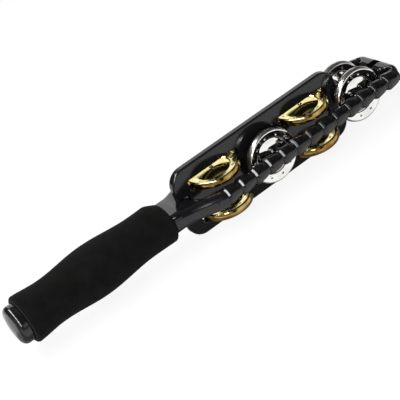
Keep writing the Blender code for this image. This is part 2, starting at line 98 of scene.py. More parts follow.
# Handle
SEAT_GAP = 0.3 * MM
GRIP_STOPS = np.array([0.0, 0.19, 0.49, 0.83, 1.0])  # butt, waist, palm, waist and front, along the sleeve
GRIP_RADII = np.array([18.7, 17.05, 19.75, 16.85, 17.2]) * MM
GRIP_EDGE = 2.4 * MM
GRIP_LIP = 0.4 * MM
PINCH_LENGTH = 10 * MM
PINCH_DEPTH = 3.4 * MM
PINCH_ANGLE = math.radians(62)  # from +Y towards +Z
CORE_RADIUS = 11.5 * MM
BORE_RADIUS = 8.5 * MM
BORE_DEPTH = 96 * MM
CAP_SIDE = 4.2 * MM
CAP_SHOULDER = 4.2 * MM
CAP_DOME = 1.4 * MM
CAP_EDGE = 0.4 * MM

# Jingles and pins
JINGLE_RADIUS = 21.5 * MM
JINGLE_HEIGHT = 2.9 * MM
SHEET = 0.6 * MM
HOLE_RADIUS = 1.6 * MM
HOLE_EDGE = 0.12 * MM
TROUGH_RADIUS = 13.6 * MM
TROUGH_HEIGHT = 0.8 * MM
TROUGH_WALL = 1.2 * MM
RING_START_HEIGHT = 1.4 * MM
RIM_ROUNDING = 1.1 * MM
WALL_LEAN = 0.6 * MM
PIP_COUNT = 10
PIP_CIRCLE = 16.5 * MM
PIP_RADIUS = 0.85 * MM
PIP_DEPTH = 0.34 * MM
JINGLE_SIDES = 240
SPIN_STEP = 0.37  # radians from one jingle to the next
PIN_EDGE = 0.35 * MM
PIN_HOLE_RADIUS = 1.1 * MM

# Plate
SLOT_HALF_LENGTH = 23.5 * MM
SLOT_HEIGHT = 9.4 * MM
SLOT_CORNER = 2.0 * MM
SLOT_ROUNDING = 0.6 * MM
UPPER_RIM = 11.2 * MM
LOWER_RIM = 7.85 * MM
PLATE_CORNER = 12.5 * MM
PLATE_ROUNDING = 1.5 * MM
PLATE_TIP_MARGIN = 10 * MM
TONGUE_HALF_HEIGHT = 4 * MM

# Loop frame
NECK_HALF_WIDTH = 15 * MM
NECK_HALF_HEIGHT = 8.5 * MM
NECK_TAPER = 0.24  # of half-width to length
NECK_LENGTH = 11 * MM
NECK_CROWN = 0.045
FORK_ROUNDING = 5.0 * MM
ROOT_LENGTH = 9 * MM
ROOT_HALF_WIDTH = 9.2 * MM
ROOT_HALF_HEIGHT = 6.5 * MM
FRAME_HALF_HEIGHT = 6.8 * MM
RIB_CREST = 6.8 * MM
RIB_GROOVE = 5.0 * MM
RIB_COUNT = 13
RIB_PITCH = 13.16 * MM
CROTCH_SPACE = 2.5 * MM
CROTCH_RADIUS = 12 * MM
BOW_WIDTH = 13.6 * MM
BOW_SHOULDER = 6 * MM
BOW_CORNER = 16.5 * MM
BOW_SET_BACK = 1.5 * MM
BOW_SLOT_DEPTH = 10.6 * MM
GROOVE_FILLING = 4.5 * MM

# Places that follow from both
NECK_START = GRIP_END + SEAT_GAP
FLARE_START = NECK_START + NECK_LENGTH
RAIL_OFFSET = LOOP_HALF_WIDTH - RIB_CREST
OPENING_HALF_WIDTH = RAIL_OFFSET - RIB_CREST
BOW_START = BOW_END - BOW_WIDTH
BOW_SLOT_END = BOW_START + BOW_SLOT_DEPTH
RIBS_END = BOW_START + BOW_SHOULDER
RIBS_START = RIBS_END - RIB_COUNT * RIB_PITCH
CROTCH = STATIONS[0] - SLOT_HALF_LENGTH - CROTCH_SPACE
PLATE_END = STATIONS[2] + SLOT_HALF_LENGTH + PLATE_TIP_MARGIN
SLOT_FLOORS = (PLATE_HALF_HEIGHT - UPPER_RIM - SLOT_HEIGHT, LOWER_RIM - PLATE_HALF_HEIGHT)

# Camera and lights, in metres
CAMERA_PLACE = (-0.23609, -0.76233, 0.48650)
CAMERA_RIGHT = Vector((0.76538, -0.54828, -0.33703))
CAMERA_UP = Vector((0.54489, 0.27339, 0.79268))
CAMERA_VIEW = Vector((0.34247, 0.79034, -0.508))
CAMERA_LENS = 119.37  # mm, for a sensor 36 mm wide
LIGHT_DISTANCE = 1.15
LIGHT_AIM = Vector((0.17, 0, 0))
LIGHT_SIZE = (0.24, 0.50)
LIGHT_POWER = 5.5
LIGHT_TURNS = (12, 24, 36, 48, 60)  # degrees
SHOULDER_LEAN = 0.53
FLOOR_HALF = 3.0
ROOM_LIGHT = 0.035
PANEL_SOFTNESS = 5  # degrees
# Each panel's azimuths from +Y towards +X, its elevations and its brightness
PANELS = (
    ((4, 48), (-20, 36), 1.6),
    ((135, 178), (-10, 14), 1.10),
    ((-125, 125), (52, 100), 0.14),
    ((-165, -60), (-10, 42), 0.40),
    ((58, 110), (-10, 42), 0.22),
)


# Shapes

def smooth(start, end, value):
    """0 before start, 1 after end and 3t^2 - 2t^3 between them, t being the share of the way."""
    share = np.clip((value - start) / (end - start), 0, 1)
    return share * share * (3 - 2 * share)


def finish_mesh(name, points, faces, sharp=60):
    """A mesh with its doubles merged, its faces pointing outwards and smooth shading up to an angle."""
    mesh = bpy.data.meshes.new(name)
    mesh.from_pydata(points, [], faces)
    shape = bmesh.new()
    shape.from_mesh(mesh)
    bmesh.ops.remove_doubles(shape, verts=shape.verts, dist=1e-7)
    bmesh.ops.dissolve_degenerate(shape, edges=shape.edges, dist=1e-8)
    bmesh.ops.recalc_face_normals(shape, faces=shape.faces)
    shape.to_mesh(mesh)
    shape.free()
    mesh.shade_smooth()
    mesh.set_sharp_from_angle(angle=math.radians(sharp))
    return mesh


def grid_faces(rows, columns, wrap_rows=False):
    """The quads of a grid whose columns go round, and whose rows do so too if they wrap."""
    row = np.arange(rows if wrap_rows else rows - 1)[:, None]
    column = np.arange(columns)[None, :]
    after = (column + 1) % columns
    up = (row + 1) % rows
    ends = (row * columns + column, row * columns + after, up * columns + after, up * columns + column)
    return np.stack(np.broadcast_arrays(*ends), axis=-1).reshape(-1, 4)


def turned_mesh(name, profile, sides, offset=(0, 0, 0), closed=False):
    """A profile of (distance along X, radius) pairs turned about X: (x, r cos a, r sin a)."""
    profile = np.asarray(profile)
    turn = np.arange(sides) * TAU / sides
    along = np.broadcast_to(profile[:, :1], (len(profile), sides))
    radius = profile[:, 1:]
    points = np.stack([along, radius * np.cos(turn), radius * np.sin(turn)], axis=-1).reshape(-1, 3)
    faces = grid_faces(len(profile), sides, closed).tolist()
    return finish_mesh(name, points + np.asarray(offset), faces)


def laid_along(axis, centre):
    """The move that lays a shape drawn along X along another axis, about a centre."""
    turn = Vector((1, 0, 0)).rotation_difference(Vector(axis)).to_matrix().to_4x4()
    return Matrix.Translation(centre) @ turn


def arc(centre, radius, start, end, count):
    """Points on a circle's arc: centre + radius (cos a, sin a), a running from start to end."""
    turn = np.linspace(start, end, count)
    return np.stack([centre[0] + radius * np.cos(turn), centre[1] + radius * np.sin(turn)], axis=-1)


def ring_of(half):
    """A closed outline from one half of it and the other half's mirror image, without doubled points."""
    half = np.asarray(half)
    ring = np.concatenate([half, (half * [1, -1])[::-1]])
    apart = np.linalg.norm(ring - np.roll(ring, 1, axis=0), axis=1) > 1e-7
    return ring[apart]


def inset(ring, distance):
    """A closed outline moved towards its own left by a distance, corners mitred."""
    before = ring - np.roll(ring, 1, axis=0)
    after = np.roll(ring, -1, axis=0) - ring
    before /= np.linalg.norm(before, axis=1)[:, None]
    after /= np.linalg.norm(after, axis=1)[:, None]
    first = before[:, ::-1] * [-1, 1]
    second = after[:, ::-1] * [-1, 1]
    together = 1 + np.sum(first * second, axis=1)
    return ring + (first + second) * (distance / together)[:, None]


def anticlockwise(ring):
    """A closed outline that runs anticlockwise, judged by the sign of its area."""
    x, y = ring[:, 0], ring[:, 1]
    area = np.sum(x * np.roll(y, -1) - y * np.roll(x, -1))
    return ring if area > 0 else ring[::-1]


def inside(points, ring):
    """Whether each point lies in a closed outline, by counting the edges that a ray from it crosses."""
    x, y = points[:, 0][:, None], points[:, 1][:, None]
    x0, y0 = ring[:, 0], ring[:, 1]
    x1, y1 = np.roll(x0, -1), np.roll(y0, -1)
    spans = (y0 > y) != (y1 > y)
    rise = np.where(y1 == y0, 1.0, y1 - y0)
    crossing = x0 + (y - y0) / rise * (x1 - x0)
    return np.sum(spans & (crossing > x), axis=1) % 2 == 1


def round_edge(half_thickness, size, steps=6):
    """An edge's section: (inset, height) along a quarter circle, then a narrow flat rim for clean shading."""
    rim = 0.25 * MM
    turn = np.linspace(0, TAU / 4, steps + 1)
    rows = [(size * (1 - math.cos(a)), half_thickness - size * (1 - math.sin(a))) for a in turn]
    return [(0.0, half_thickness - size - rim)] + rows + [(size + rim, half_thickness)]


def at_height(flat, height):
    """Points of the plane, raised to a height."""
    return np.column_stack([flat, np.full(len(flat), height)])


def slab_shape(outlines, edges, spare=()):
    """Points and faces of outlines drawn out both ways from their plane; all but the first are holes.

    Each outline is swept along its own edge section, moving inwards as it rises, and a flat face is filled
    between the innermost outlines at either end. Spare points are added to those flat faces.
    """
    layers, faces, flat, spans, rims = [], [], [], [], []
    for index, (outline, edge) in enumerate(zip(outlines, edges)):
        ring = anticlockwise(np.asarray(outline))
        inward = 1 if index == 0 else -1
        section = [(shift, -height) for shift, height in reversed(edge)] + list(edge)
        faces += (grid_faces(len(section), len(ring)) + sum(map(len, layers))).tolist()
        layers += [at_height(inset(ring, inward * shift), height) for shift, height in section]
        rim = inset(ring, inward * edge[-1][0])
        spans += [[len(flat) + i, len(flat) + (i + 1) % len(rim)] for i in range(len(rim))]
        flat += [Vector(point) for point in rim]
        rims.append(rim)
    top = edges[0][-1][1]
    flat += [Vector(point) for point in spare]
    filled = delaunay_2d_cdt(flat, spans, [], 0, 1e-9)
    spots = np.array([list(point) for point in filled[0]])
    triangles = [list(face) for face in filled[2]]
    middles = np.array([spots[face].mean(axis=0) for face in triangles])
    kept = inside(middles, rims[0])
    for rim in rims[1:]:
        kept &= ~inside(middles, rim)
    for height in (-top, top):
        start = sum(map(len, layers))
        faces += [[corner + start for corner in face] for face, keep in zip(triangles, kept) if keep]
        layers.append(at_height(spots, height))
    return np.concatenate(layers), faces


def rounded_box(left, right, low, high, radius):
    """A rectangle's outline with the same radius at its four corners."""
    places = [(left + radius, low + radius), (right - radius, low + radius),
              (right - radius, high - radius), (left + radius, high - radius)]
    quarters = [arc(centre, radius, (2 + side) * TAU / 4, (3 + side) * TAU / 4, 8)
                for side, centre in enumerate(places)]
    return np.concatenate(quarters)


def joined(meshes, name):
    """One mesh from several closed shells."""
    shape = bmesh.new()
    for mesh in meshes:
        shape.from_mesh(mesh)
        bpy.data.meshes.remove(mesh)
    mesh = bpy.data.meshes.new(name)
    shape.to_mesh(mesh)
    shape.free()
    return mesh


def bored(mesh, rods):
    """The mesh with round holes cut by rods, each given as (centre, axis, half length)."""
    tools = []
    for centre, axis, half_length in rods:
        side = [(-half_length, PIN_HOLE_RADIUS), (half_length, PIN_HOLE_RADIUS)]
        rod = turned_mesh("rod", [(-half_length, 0), *side, (half_length, 0)], 32)
        rod.transform(laid_along(axis, centre))
        tools.append(rod)
    body = bpy.data.objects.new("body", mesh)
    drill = bpy.data.objects.new("drill", joined(tools, "drill"))
    for obj in (body, drill):
        bpy.context.scene.collection.objects.link(obj)
    modifier = body.modifiers.new("holes", "BOOLEAN")
    modifier.operation = "DIFFERENCE"
    modifier.solver = "EXACT"
    modifier.object = drill
    bpy.context.view_layer.update()
    result = bpy.data.meshes.new_from_object(body.evaluated_get(bpy.context.evaluated_depsgraph_get()))
    result.name = mesh.name
    for obj in (body, drill):
        bpy.data.objects.remove(obj)
    return result


# Materials

class Nodes:
    """Short calls for the nodes of one shader tree."""

    def __init__(self, tree):
        self.tree = tree

    def add(self, kind, **values):
        """A new node, with some of its settings."""
        node = self.tree.nodes.new(kind)
        for key, value in values.items():
            setattr(node, key, value)
        return node

    def link(self, source, target):
        """Feeds a socket from another node's output."""
        self.tree.links.new(source, target)

    def math(self, operation, *values):
        """The result of one operation on outputs and numbers."""
        node = self.add("ShaderNodeMath", operation=operation)
        for socket, value in zip(node.inputs, values):
            if isinstance(value, (int, float)):
                socket.default_value = value
            else:
                self.link(value, socket)
        return node.outputs["Value"]

    def span(self, source, low, high, source_low=0.3, source_high=0.7):
        """A value mapped from one range to another, and held at both ends."""
        node = self.add("ShaderNodeMapRange")
        node.inputs["From Min"].default_value = source_low
        node.inputs["From Max"].default_value = source_high
        node.inputs["To Min"].default_value = low
        node.inputs["To Max"].default_value = high
        self.link(source, node.inputs["Value"])
        return node.outputs["Result"]

    def axes(self, vector):
        """A vector's three parts, by their letters."""
        node = self.add("ShaderNodeSeparateXYZ")
        self.link(vector, node.inputs["Vector"])
        return node.outputs

    def mixed(self, share, first, second):
        """A shader that goes from one to another by a share."""
        node = self.add("ShaderNodeMixShader")
        self.link(share, node.inputs["Fac"])
        self.link(first, node.inputs[1])
        self.link(second, node.inputs[2])
        return node.outputs["Shader"]


class Finish(Nodes):
    """A Principled material and its patterns, which lie in object space, in metres."""

    def __init__(self, name, roughness, metallic=0.0, ior=1.5):
        self.material = bpy.data.materials.new(name)
        self.material.use_nodes = True
        super().__init__(self.material.node_tree)
        self.shader = self.tree.nodes["Principled BSDF"]
        self.shader.inputs["Roughness"].default_value = roughness
        self.shader.inputs["Metallic"].default_value = metallic
        self.shader.inputs["IOR"].default_value = ior
        self.place = self.add("ShaderNodeTexCoord").outputs["Object"]

    def stretched(self, scale):
        """Object coordinates scaled by a different factor along each axis."""
        mapping = self.add("ShaderNodeMapping")
        mapping.inputs["Scale"].default_value = scale
        self.link(self.place, mapping.inputs["Vector"])
        return mapping.outputs["Vector"]

    def noise(self, size, detail, place=None):
        """Noise whose lumps are about a size across."""
        node = self.add("ShaderNodeTexNoise")
        node.inputs["Scale"].default_value = 1 / size
        node.inputs["Detail"].default_value = detail
        node.inputs["Roughness"].default_value = 0.55
        self.link(place or self.place, node.inputs["Vector"])
        return node.outputs["Fac"]

    def cells(self, size):
        """The distance to the nearest of many scattered points about a size apart."""
        node = self.add("ShaderNodeTexVoronoi")
        node.inputs["Scale"].default_value = 1 / size
        self.link(self.place, node.inputs["Vector"])
        return node.outputs["Distance"]

    def ramp(self, source, stops):
        """A colour ramp over (place, colour) stops."""
        node = self.add("ShaderNodeValToRGB")
        for element, (place, colour) in zip(node.color_ramp.elements, stops):
            element.position = place
            element.color = (*colour, 1.0)
        self.link(source, node.inputs["Fac"])
        return node.outputs["Color"]

    def tinted(self, colour, share, tint):
        """A colour that goes over to a plain tint by a share."""
        node = self.add("ShaderNodeMix", data_type="RGBA")
        first, second = [socket for socket in node.inputs if socket.type == "RGBA"]
        self.link(share, node.inputs["Factor"])
        self.link(colour, first)
        second.default_value = (*tint, 1.0)
        return next(socket for socket in node.outputs if socket.type == "RGBA")

    def bump(self, height, distance, strength, below=None):
        """A normal that follows a height pattern, laid over another normal if one is given."""
        node = self.add("ShaderNodeBump")
        node.inputs["Distance"].default_value = distance
        node.inputs["Strength"].default_value = strength
        self.link(height, node.inputs["Height"])
        if below is not None:
            self.link(below, node.inputs["Normal"])
        return node.outputs["Normal"]

    def dress(self, **sources):
        """The material with outputs linked to its shader's inputs, named with underscores for spaces."""
        for key, source in sources.items():
            self.link(source, self.shader.inputs[key.replace("_", " ")])
        return self.material


def foam_finish():
    """Fine closed-cell foam: soft mottling, small open pores and a faint sheen."""
    finish = Finish("foam", 0.92, ior=1.4)
    finish.shader.inputs["Sheen Weight"].default_value = 0.02
    finish.shader.inputs["Sheen Roughness"].default_value = 0.5
    finish.shader.inputs["Specular IOR Level"].default_value = 0.08
    stops = [(0.3, (0.0022, 0.0021, 0.0020)), (0.7, (0.0045, 0.0042, 0.0040))]
    colour = finish.ramp(finish.noise(9 * MM, 4), stops)
    pores = finish.cells(0.7 * MM)
    skin = finish.bump(finish.span(pores, 0, 1, 0.0, 0.45), 0.12 * MM, 0.6)
    grain = finish.bump(finish.noise(0.5 * MM, 5), 0.10 * MM, 0.5, below=skin)
    return finish.dress(Base_Color=colour, Normal=grain)


def plastic_finish(name, colour, roughness, spread, specular=0.5):
    """Moulded black plastic: a faint flow pattern, an uneven polish, soft ripples and hairline rub marks."""
    finish = Finish(name, roughness)
    finish.shader.inputs["Specular IOR Level"].default_value = specular
    light = tuple(1.5 * channel for channel in colour)
    flow = finish.noise(14 * MM, 3, place=finish.stretched((0.35, 1, 1)))
    shade = finish.ramp(flow, [(0.35, colour), (0.7, light)])
    polish = finish.span(finish.noise(5 * MM, 4), roughness, roughness + spread)
    ripple = finish.bump(finish.noise(3.5 * MM, 2), 0.02 * MM, 0.5)
    marks = finish.noise(0.35 * MM, 4, place=finish.stretched((0.05, 1, 1)))
    rubbed = finish.bump(marks, 0.004 * MM, 0.5, below=ripple)
    return finish.dress(Base_Color=shade, Roughness=polish, Normal=rubbed)


def metal_finish(name, dark, light, roughness, spread, wall=None, axis="Z", dull=0.0):
    """Polished metal: tarnish clouds, an uneven polish and fine scatter from handling.

    Where a wall colour is given, faces that lie along the axis get painted shade: they are tinted in patches
    towards that darker colour, and made duller.
    """
    finish = Finish(name, roughness, metallic=1.0)
    colour = finish.ramp(finish.noise(6 * MM, 4), [(0.35, dark), (0.65, light)])
    polish = finish.span(finish.noise(2.2 * MM, 5), roughness, roughness + spread)
    if wall is not None:
        # Painted shade: the upright walls, found by their normals, are tinted in patches towards the darker
        # wall colour.
        normal = finish.axes(finish.add("ShaderNodeTexCoord").outputs["Normal"])
        upright = finish.span(finish.math("ABSOLUTE", normal[axis]), 1, 0, 0.30, 0.60)
        painted_wall_shade = finish.math("MULTIPLY", upright, finish.span(finish.noise(7 * MM, 2), 0.45, 1.0))
        colour = finish.tinted(colour, painted_wall_shade, wall)
        polish = finish.math("MULTIPLY_ADD", painted_wall_shade, dull, polish)
    hammered = finish.bump(finish.noise(2.6 * MM, 2), 0.010 * MM, 0.5)
    fine = finish.bump(finish.noise(0.25 * MM, 3), 0.002 * MM, 0.5, below=hammered)
    return finish.dress(Base_Color=colour, Roughness=polish, Normal=fine)


def show(name, mesh, material, node, body="stick"):
    """A finished piece in the scene, which stands for a CAD node and moves with its body."""
    piece = bpy.data.objects.new(name, mesh)
    bpy.context.scene.collection.objects.link(piece)
    mesh.materials.clear()
    mesh.materials.append(material)
    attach(piece, body)
    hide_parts(node)
    return piece


# Handle pieces

def grip_radius(share):
    """The sleeve's radius at a share of its length: cosine waves between butt, waist, palm and front."""
    index = np.clip(np.searchsorted(GRIP_STOPS, share, side="right") - 1, 0, len(GRIP_STOPS) - 2)
    part = (share - GRIP_STOPS[index]) / (GRIP_STOPS[index + 1] - GRIP_STOPS[index])
    wave = 0.5 - 0.5 * np.cos(math.pi * part)
    return GRIP_RADII[index] + (GRIP_RADII[index + 1] - GRIP_RADII[index]) * wave


def build_grip(foam):
    """A turned sleeve whose ends roll over a rounded edge, with a bore for the core.

    Its front end is squeezed in on one side: the radius shrinks by PINCH_DEPTH s c. The share s rises
    smoothly over the last PINCH_LENGTH, and c is the cosine of the angle from the pinch's middle.
    """
    length = GRIP_END - GRIP_BUTT
    bore = CORE_RADIUS + SEAT_GAP
    share = GRIP_EDGE / length
    turn = np.linspace(0, TAU / 4, 9)
    roll = GRIP_EDGE * np.stack([1 - np.sin(turn), 1 - np.cos(turn)], axis=-1)
    butt = roll[::-1] * [1, -1] + [GRIP_BUTT, grip_radius(share)]
    front = roll * [-1, -1] + [GRIP_END, grip_radius(1 - share)]
    along = np.linspace(GRIP_EDGE, length - GRIP_EDGE, 122)[1:-1]
    side = np.stack([GRIP_BUTT + along, grip_radius(along / length)], axis=-1)
    start = [(GRIP_BUTT + GRIP_LIP, bore), (GRIP_BUTT, bore + GRIP_LIP)]
    end = [(GRIP_END, bore + GRIP_LIP), (GRIP_END - GRIP_LIP, bore)]
    mesh = turned_mesh("foam_sleeve", np.concatenate([start, butt, side, front, end]), 128, closed=True)
    points = np.empty(len(mesh.vertices) * 3)
    mesh.vertices.foreach_get("co", points)
    x, y, z = points.reshape(-1, 3).T
    radius = np.hypot(y, z)
    facing = np.maximum(y * math.cos(PINCH_ANGLE) + z * math.sin(PINCH_ANGLE), 0) / radius
    outer = smooth(bore, bore + 3 * MM, radius)
    pinch = 1 - PINCH_DEPTH / radius * smooth(GRIP_END - PINCH_LENGTH, GRIP_END, x) * facing * outer
    mesh.vertices.foreach_set("co", np.stack([x, y * pinch, z * pinch], axis=-1).ravel())
    show("foam_sleeve", mesh, foam, "foam_grip")


def build_cap(gloss):
    """A shallow dome on a rounded shoulder, and a plug that sits in the core.

    The dome stands out by CAP_DOME (1 - s^2), s being the share of the way from its middle to its edge.
    """
    back = GRIP_BUTT - SEAT_GAP
    plug = BORE_RADIUS - SEAT_GAP
    start = back - CAP_SIDE
    flat = CAP_RADIUS - CAP_SHOULDER
    bevel = 0.3 * CAP_EDGE
    rows = [(PLUG_END, 0.0), (PLUG_END, plug - 0.6 * MM), (PLUG_END - 0.3 * MM, plug - 0.3 * MM)]
    rows += [(PLUG_END - 1.5 * MM, plug), (back, plug)]
    rows += [(back, CAP_RADIUS - CAP_EDGE), (back - bevel, CAP_RADIUS - bevel), (back - CAP_EDGE, CAP_RADIUS)]
    rows += [(start - CAP_SHOULDER * math.sin(a), flat + CAP_SHOULDER * math.cos(a))
             for a in np.linspace(0, TAU / 4, 17)]
    rows += [(start - CAP_SHOULDER - CAP_DOME * (1 - share**2), flat * share)
             for share in np.linspace(0.97, 0, 20)]
    show("end_cap_shell", turned_mesh("end_cap_shell", rows, 96), gloss, "end_cap")


# Loop frame pieces

def fork_mesh():
    """The neck and the fork, as a rounded slab whose height shrinks from the grip to the plate.

    The half-width grows by NECK_TAPER along the neck, and past FLARE_START a cosine wave takes it out to the
    loop's. Heights are multiplied by 1 + 0.25 (1 - s), s rising smoothly from the grip to the plate, and the
    neck's faces are slightly crowned.
    """
    along = np.linspace(NECK_START, RIBS_START, 52)
    taper = NECK_HALF_WIDTH + NECK_TAPER * (along - NECK_START)
    share = np.clip((along - FLARE_START) / (RIBS_START - FLARE_START), 0, 1)
    wave = 0.5 - 0.5 * np.cos(math.pi * share)
    flare = np.stack([along, taper + (LOOP_HALF_WIDTH - taper[-1]) * wave], axis=-1)
    centre = (CROTCH + CROTCH_RADIUS, OPENING_HALF_WIDTH - CROTCH_RADIUS)
    crotch = arc(centre, CROTCH_RADIUS, TAU / 4, TAU / 2, 18)
    outline = ring_of(np.concatenate([flare, [[RIBS_START, OPENING_HALF_WIDTH]], crotch]))
    edge = round_edge(FRAME_HALF_HEIGHT, FORK_ROUNDING, steps=12)
    columns = np.arange(NECK_START + 1 * MM, CROTCH, 1.5 * MM)
    x, y = np.meshgrid(columns, np.arange(-18, 18.1, 1.5) * MM)
    spare = np.stack([x.ravel(), y.ravel()], axis=-1)
    spare = spare[inside(spare, inset(anticlockwise(outline), FORK_ROUNDING + 1 * MM))]
    points, faces = slab_shape([outline], [edge], spare)
    x, y, z = points.T
    sunk = smooth(NECK_START, PLATE_START, x)
    neck = 1 - smooth(PLATE_START - 2 * MM, CROTCH, x)
    lift = 1 + (NECK_HALF_HEIGHT / FRAME_HALF_HEIGHT - 1) * (1 - sunk)
    crown = 1 - NECK_CROWN * neck * (y / NECK_HALF_WIDTH) ** 2
    # The end against the foam is flat, so every ring starts in its plane.
    flat_end = NECK_START + np.maximum(x - NECK_START - FORK_ROUNDING, 0)
    x = np.where(x < NECK_START + FORK_ROUNDING + 0.3 * MM, flat_end, x)
    return finish_mesh("fork", np.stack([x, y, z * lift * crown], axis=-1), faces)


def rib_rise(share):
    """A rib's height as a share, along its pitch: a step, a straight bevel, a taper and a fall."""
    places = [0.02, 0.028, 0.040, 0.055, 0.075, 0.175, 0.205, 0.24]
    heights = [0.0, 0.22, 0.37, 0.48, 0.56, 0.93, 0.985, 1.0]
    taper = 1 - 0.62 * np.clip((share - 0.20) / 0.62, 0, 1) ** 1.5
    return np.interp(share, places, heights) * taper * (1 - smooth(0.80, 0.94, share))


def rail_mesh(side):
    """A round rail whose radius is the groove's plus the rib's rise, with holes for the cross pins."""
    shoulder = [0, .02, .028, .04, .055, .075, .085, .125, .165, .175, .19, .205, .24, .28]
    share = np.array(shoulder + [.34, .43, .52, .61, .70, .77, .81, .84, .87, .90, .93, .96])
    radius = RIB_GROOVE + (RIB_CREST - RIB_GROOVE) * rib_rise(share)
    along = RIBS_START + (np.arange(RIB_COUNT)[:, None] + share) * RIB_PITCH
    ribs = np.stack([along.ravel(), np.tile(radius, RIB_COUNT)], axis=-1)
    root, tip = RIBS_START - 8 * MM, RIBS_END + 0.6 * MM
    profile = np.concatenate([[(root, 0), (root, RIB_GROOVE)], ribs, [(tip, RIB_GROOVE), (tip, 0)]])
    mesh = turned_mesh("rail", profile, 64, offset=(0, side * RAIL_OFFSET, 0))
    low, high = corners(PINS[1])
    half_length = 12 * MM
    middle = high[1] + 8 * MM - half_length if side > 0 else low[1] - SEAT_GAP + half_length
    rods = [((station, middle, 0), (0, 1, 0), half_length) for station in (STATIONS[1], STATIONS[3])]
    return bored(mesh, rods)


def bow_section(inner, outer, inner_round, outer_round):
    """An upright box with rounded corners, between a point of the inner edge and one of the outer."""
    width = np.linalg.norm(outer - inner)
    inner_round = min(inner_round, width / 2 - 0.35 * MM)
    outer_round = min(outer_round, width / 2 - 0.35 * MM)
    half = FRAME_HALF_HEIGHT
    turn = np.linspace(0, TAU / 4, 9)
    rise = np.concatenate([[half - inner_round - 0.3 * MM], half - inner_round + inner_round * np.sin(turn)])
    reach = np.concatenate([[0], inner_round * (1 - np.cos(turn))])
    fall = np.concatenate([half - outer_round + outer_round * np.cos(turn), [half - outer_round - 0.3 * MM]])
    far = np.concatenate([width - outer_round + outer_round * np.sin(turn), [width]])
    across = np.concatenate([reach, [inner_round + 0.3 * MM, width - outer_round - 0.3 * MM], far])
    height = np.concatenate([rise, [half, half], fall])
    across = np.concatenate([across, across[::-1]])
    height = np.concatenate([height, -height[::-1]])
    place = inner + across[:, None] * (outer - inner) / width
    return np.column_stack([place, height])


def bow_mesh():
    """Rounded sections carried from the front rail round the end to the rear one, slotted at the middle.

    Along the corner the roundings shrink and the heights swell smoothly from the rail's to the bow's. At the
    slot the section is doubled: once whole, and once with all that lies before the slot's end drawn back to
    it. The rear end starts earlier, which fills the rear rail's last groove.
    """
    edge = BOW_END - BOW_SET_BACK
    turn_start = math.acos((RIBS_END - (edge - BOW_CORNER)) / BOW_CORNER)
    share = np.linspace(0, 1, 19)
    middle = (edge - BOW_CORNER, LOOP_HALF_WIDTH - BOW_CORNER)
    outer = arc(middle, BOW_CORNER, turn_start, 0, len(share))
    knee = np.array([BOW_START, OPENING_HALF_WIDTH - BOW_SHOULDER / 2])
    inner = np.array([RIBS_END, OPENING_HALF_WIDTH]) * (1 - share[:, None]) + knee * share[:, None]
    slot_half = PLATE_HALF + SEAT_GAP
    step = np.linspace(0, 1, 7)[1:, None]
    inner = np.concatenate([inner, knee + step * [0, slot_half - knee[1]]])
    outer = np.concatenate([outer, outer[-1] + step * [0, slot_half - outer[-1][1]]])
    number = np.arange(len(inner))
    bend = smooth(0, len(share), number)
    swell = 0.80 + 0.20 * smooth(-3, 11, number)
    ends = zip(inner, outer, (6.3 - 3.5 * bend) * MM, (6.3 - 0.9 * bend) * MM)
    sections = [bow_section(*values) * [1, 1, height] for values, height in zip(ends, swell)]
    first = sections[0]
    start = first.mean(axis=0)
    sections[0] = first + [0.5 * MM, 0, 0]
    eased = start + (first - start) * 0.93
    whole = sections[-1]
    edge_height = np.interp(BOW_SLOT_END, *whole[len(whole) // 4:len(whole) // 2, [0, 2]].T)
    before = whole[:, 0] < BOW_SLOT_END
    drawn = whole.copy()
    drawn[before, 0] = BOW_SLOT_END
    drawn[before, 2] = np.clip(whole[before, 2], -edge_height, edge_height)
    half = [np.broadcast_to(start, first.shape), eased, *sections, drawn]
    rear = [section * [1, -1, 1] for section in reversed(half)]
    rear[-2:] = [section - [GROOVE_FILLING, 0, 0] for section in rear[-2:]]
    points = np.concatenate(half + rear)
    return finish_mesh("bow", points, grid_faces(2 * len(half), len(first)).tolist())


def build_loop(plastic):
    """The whole black frame: core tube, fork, two ribbed rails and bow, as closed shells in one piece."""
    core_end = GRIP_END - SEAT_GAP
    bore_end = GRIP_BUTT + BORE_DEPTH
    core = [(bore_end, 0), (bore_end, BORE_RADIUS), (GRIP_BUTT, BORE_RADIUS), (GRIP_BUTT, CORE_RADIUS),
            (core_end, CORE_RADIUS), (core_end, 0)]
    root_start, root_end = GRIP_END - ROOT_LENGTH, NECK_START + 3 * MM
    root = rounded_box(root_start, root_end, -ROOT_HALF_WIDTH, ROOT_HALF_WIDTH, 1 * MM)
    shells = [fork_mesh(), rail_mesh(-1), rail_mesh(1), bow_mesh(), turned_mesh("core", core, 64)]
    shells.append(finish_mesh("root", *slab_shape([root], [round_edge(ROOT_HALF_HEIGHT, 0.5 * MM)])))
    show("loop_moulding", joined(shells, "loop_moulding"), plastic, "loop_frame")


